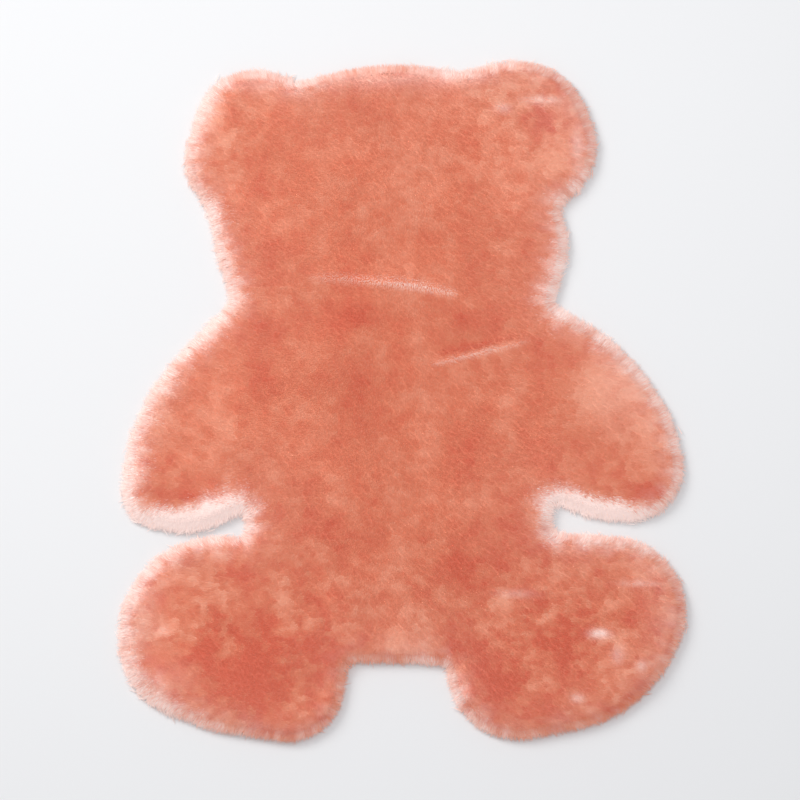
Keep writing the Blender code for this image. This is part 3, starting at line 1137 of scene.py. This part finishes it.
class RUG_OT_stage(bpy.types.Operator):
    """Set the floor, the lights and the camera"""

    bl_idname = "rug.stage"
    bl_label = "Stage"

    # Even light from the room, a window beyond the left ear, and a lamp over the head
    ROOM_LIGHT = 0.55
    ROOM_COLOUR = (0.97, 0.98, 1, 1)
    WINDOW_PLACE = (-3.1, 2.4, 3.1)
    WINDOW_SIZE = 2.2
    WINDOW_WATTS = 130
    WINDOW_COLOUR = (1, 0.985, 0.965)
    LAMP_PLACE = (0.2, 0.4, 2.1)
    LAMP_SIZE = 1.2
    LAMP_WATTS = 9.5
    FLOOR_SIZE = 30

    # The camera is far off and nearly overhead, a little towards the feet
    CAMERA_AIM = Vector((-3.5 * MM, -1.5 * MM, 10 * MM))
    CAMERA_FAR = 7.0
    CAMERA_RISE = math.radians(82)
    PHOTO_WIDTH = 800
    PIXELS_A_METRE = 762
    SENSOR = 36
    CAMERA_CLIP = 100

    @staticmethod
    def add_light(name, place, size, watts):
        """Add a round soft light that points down, and return it."""
        bpy.ops.object.light_add(type="AREA", location=place)
        light = bpy.context.object
        light.name = name
        light.data.shape = "DISK"
        light.data.size = size
        light.data.energy = watts
        return light

    def execute(self, context):
        select_only(None)
        bpy.ops.mesh.primitive_plane_add(size=self.FLOOR_SIZE)
        floor = context.object
        floor.name = "floor"
        floor.data.materials.append(floor_finish(context.scene.rug_colours))
        floor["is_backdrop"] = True

        world = bpy.data.worlds.new("soft_room")
        world.use_nodes = True
        room = world.node_tree.nodes["Background"]
        room.inputs["Strength"].default_value = self.ROOM_LIGHT
        room.inputs["Color"].default_value = self.ROOM_COLOUR
        context.scene.world = world

        window = self.add_light(
            "window_light", self.WINDOW_PLACE, self.WINDOW_SIZE, self.WINDOW_WATTS
        )
        window.data.color = self.WINDOW_COLOUR
        window.rotation_euler = (-window.location).to_track_quat("-Z", "Y").to_euler()
        self.add_light("overhead_light", self.LAMP_PLACE, self.LAMP_SIZE, self.LAMP_WATTS)

        data = bpy.data.cameras.new("photo_view")
        camera = bpy.data.objects.new("photo_view", data)
        context.scene.collection.objects.link(camera)
        back = Vector((0, -math.cos(self.CAMERA_RISE), math.sin(self.CAMERA_RISE)))
        camera.location = self.CAMERA_AIM + back * self.CAMERA_FAR
        camera.rotation_euler = (-back).to_track_quat("-Z", "Y").to_euler()
        data.sensor_width = self.SENSOR
        data.lens = self.PIXELS_A_METRE * self.CAMERA_FAR * self.SENSOR / self.PHOTO_WIDTH
        data.clip_end = self.CAMERA_CLIP
        context.scene.camera = camera
        context.scene.view_settings.view_transform = "Standard"
        return {"FINISHED"}


class RUG_PT_panel(bpy.types.Panel):
    """The rug's pieces, sizes and colours"""

    bl_idname = "RUG_PT_panel"
    bl_label = "Bear shaped rug"
    bl_space_type = "VIEW_3D"
    bl_region_type = "UI"
    bl_category = "Rug"

    def draw(self, context):
        for operator in OPERATORS:
            self.layout.operator(operator.bl_idname)
        for group in (context.scene.rug_sizes, context.scene.rug_colours):
            for name in group.__annotations__:
                self.layout.prop(group, name)


OPERATORS = (
    RUG_OT_ground_cloth,
    RUG_OT_underfur,
    RUG_OT_pile,
    RUG_OT_rim_fringe,
    RUG_OT_stage,
)
CLASSES = (RugSizes, RugColours, *OPERATORS, RUG_PT_panel)


def register():
    """Register the classes and the scene's settings."""
    for each in CLASSES:
        bpy.utils.register_class(each)
    bpy.types.Scene.rug_sizes = PointerProperty(type=RugSizes)
    bpy.types.Scene.rug_colours = PointerProperty(type=RugColours)


def unregister():
    """Take the settings and the classes away again."""
    del bpy.types.Scene.rug_colours
    del bpy.types.Scene.rug_sizes
    for each in reversed(CLASSES):
        bpy.utils.unregister_class(each)


def main():
    """Make every piece and the stage."""
    register()
    bpy.ops.rug.ground_cloth()
    bpy.ops.rug.underfur()
    bpy.ops.rug.pile()
    bpy.ops.rug.rim_fringe()
    bpy.ops.rug.stage()

    cloth = piece_named("ground_cloth")
    Edge(cloth).area


if __name__ == "__main__":
    main()
